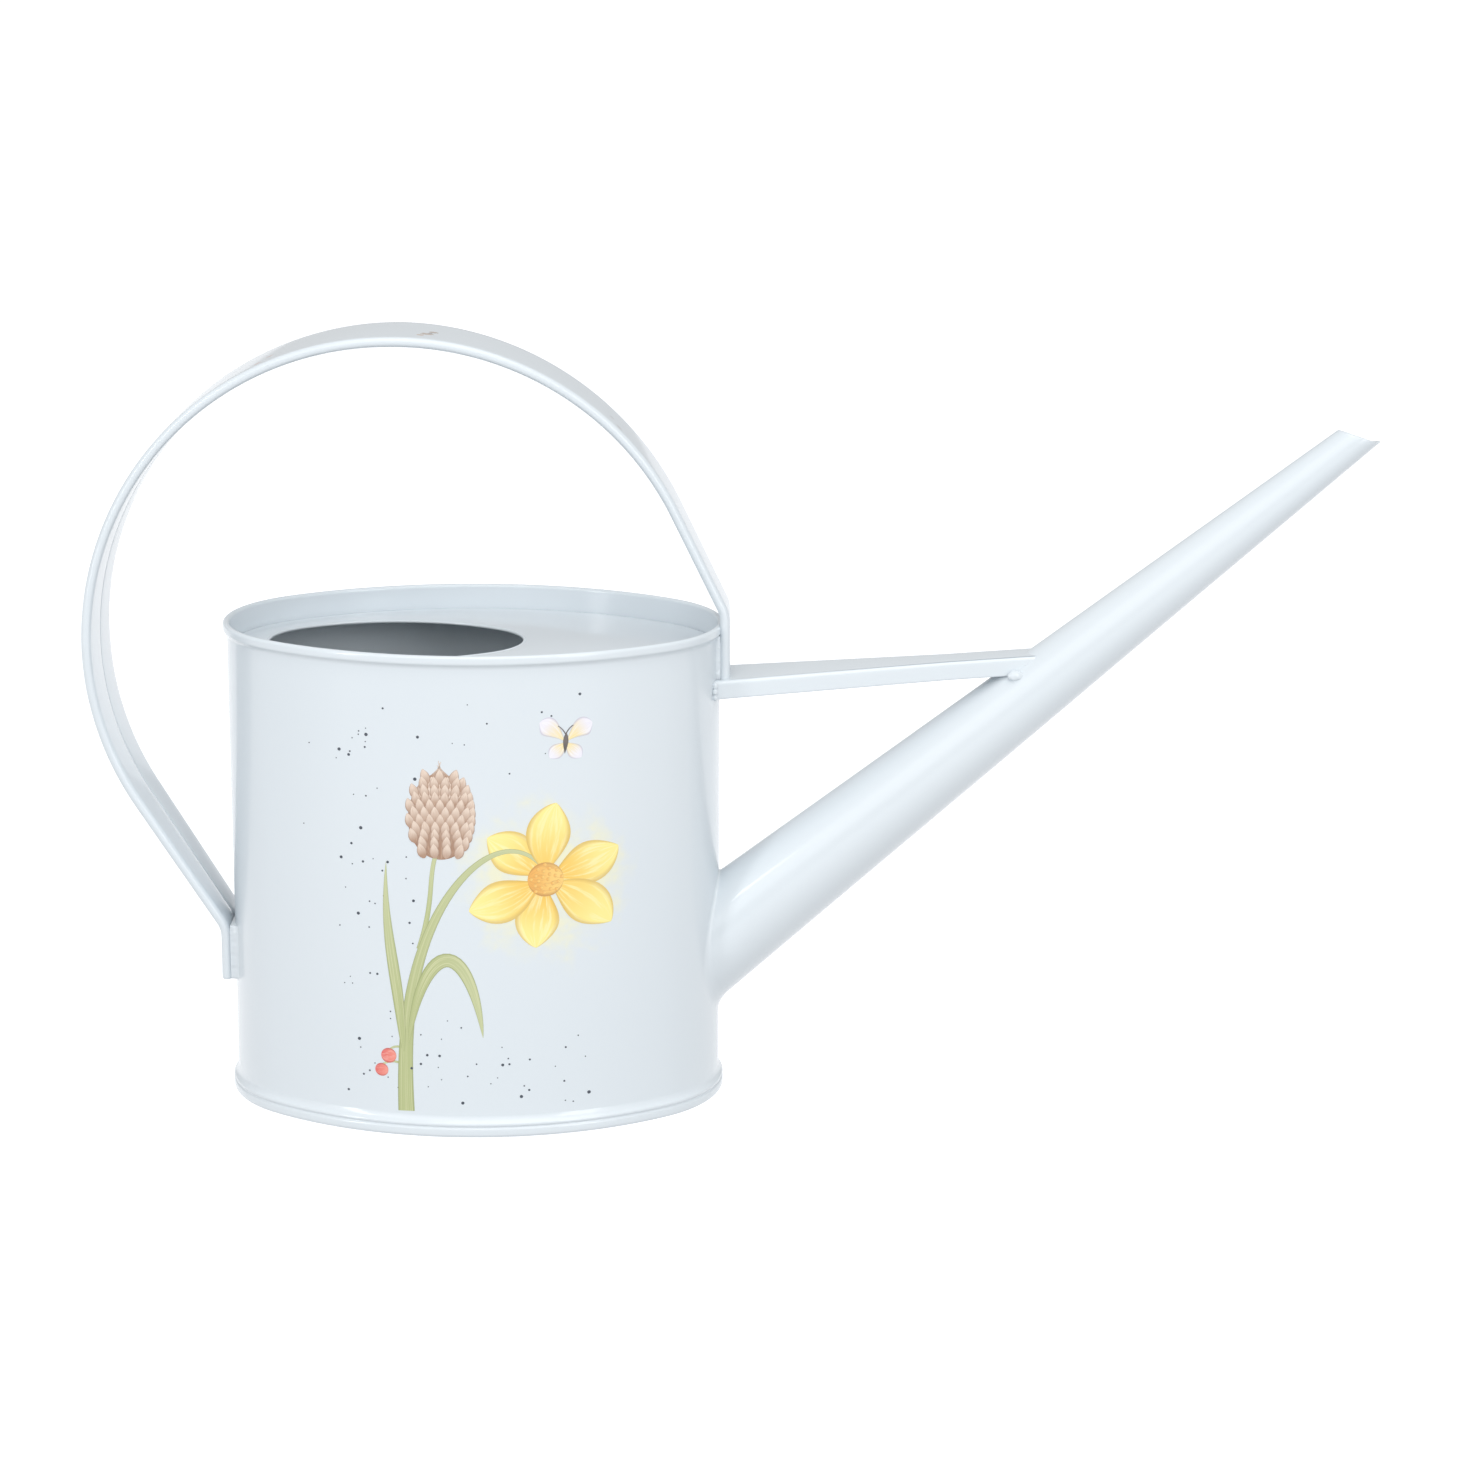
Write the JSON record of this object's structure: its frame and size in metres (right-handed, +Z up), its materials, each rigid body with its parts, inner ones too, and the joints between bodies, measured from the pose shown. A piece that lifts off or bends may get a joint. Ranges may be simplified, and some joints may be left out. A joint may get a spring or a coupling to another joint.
{
  "type": "watering can",
  "caption": "Oval indoor watering can of painted sheet steel with a half-closed top, a long straight spout, a spout brace and a tall loop handle.",
  "frame": {"origin": "the middle of the base, on the plane that the can stands on", "axes": "+X points at the spout and -X at the rear of the handle, +Z is up, and +Y is across the body"},
  "size_m": [0.3837, 0.103, 0.2335],
  "materials": {
    "paint": "pale powder blue gloss paint on sheet steel",
    "painted_joint": "the same gloss paint, thicker and uneven over solder and welds",
    "wire": "plain steel wire inside the rolled rim"
  },
  "bodies": {
    "root": {"body_wall": "paint", "rim_wire": "wire", "base_pan": "paint", "top_cover": "paint", "spout": "paint", "spout_solder": "painted_joint", "spout_brace": "paint", "handle": "paint", "front_tab_welds": "painted_joint", "rear_tab_welds": "painted_joint", "brace_foot_welds": "painted_joint", "brace_tip_welds": "painted_joint"}
  },
  "joints": []
}
